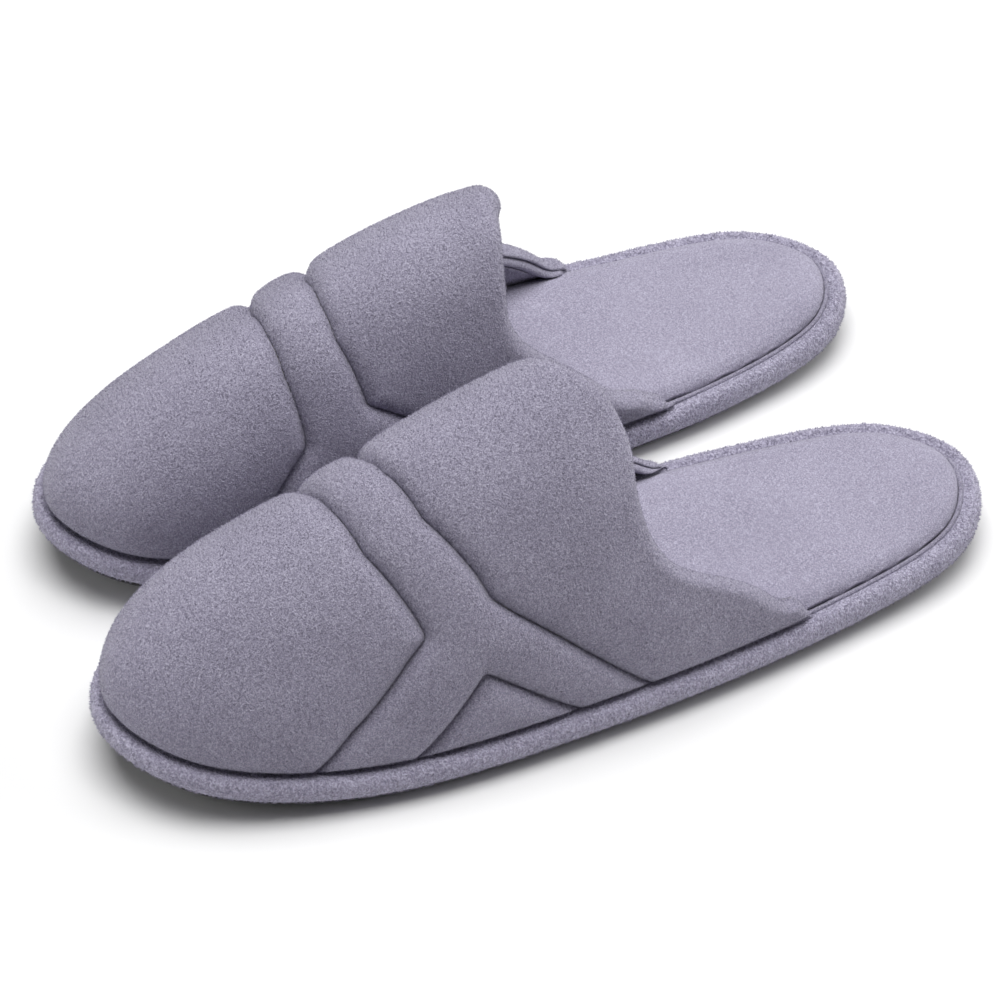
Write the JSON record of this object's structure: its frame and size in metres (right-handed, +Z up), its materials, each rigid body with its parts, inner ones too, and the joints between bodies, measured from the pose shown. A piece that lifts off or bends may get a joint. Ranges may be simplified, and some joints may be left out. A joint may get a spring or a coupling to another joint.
{
  "type": "pair of closed-toe slippers",
  "caption": "Pair of open-back, closed-toe fleece slippers with a padded pieced upper, cushioned insole and thin rubber outsole.",
  "frame": {"origin": "middle of the pair's footprint, on the floor", "axes": "+Z up; toes point towards -Y; left slipper at +X, right slipper at -X"},
  "size_m": [0.1802, 0.2826, 0.085],
  "materials": {
    "fleece": "short nap",
    "lining_fleece": "short nap",
    "insole_fleece": "plush nap",
    "outsole_rubber": "matt",
    "midsole_foam": "closed-cell foam",
    "cushion_foam": "open-cell foam",
    "board": "pressed fibre board"
  },
  "bodies": {
    "left_slipper": {"left_outsole": "outsole_rubber", "left_platform_wrap": "fleece", "left_midsole": "midsole_foam", "left_insole_board": "board", "left_insole_foam": "cushion_foam", "left_insole_cover": "insole_fleece", "left_insole_piping": "fleece", "left_upper_lining": "lining_fleece", "left_upper_foam": "cushion_foam", "left_toe_cap": "fleece", "left_cross_band": "fleece", "left_vamp": "fleece", "left_outer_gusset": "fleece", "left_inner_gusset": "fleece", "left_collar_binding": "fleece"},
    "right_slipper": {"right_outsole": "outsole_rubber", "right_platform_wrap": "fleece", "right_midsole": "midsole_foam", "right_insole_board": "board", "right_insole_foam": "cushion_foam", "right_insole_cover": "insole_fleece", "right_insole_piping": "fleece", "right_upper_lining": "lining_fleece", "right_upper_foam": "cushion_foam", "right_toe_cap": "fleece", "right_cross_band": "fleece", "right_vamp": "fleece", "right_outer_gusset": "fleece", "right_inner_gusset": "fleece", "right_collar_binding": "fleece"}
  },
  "joints": [
    {"name": "right_lift", "type": "slide", "parent": "left_slipper", "child": "right_slipper", "axis": [0, 0, 1], "range_m": [0, 0.15]}
  ]
}
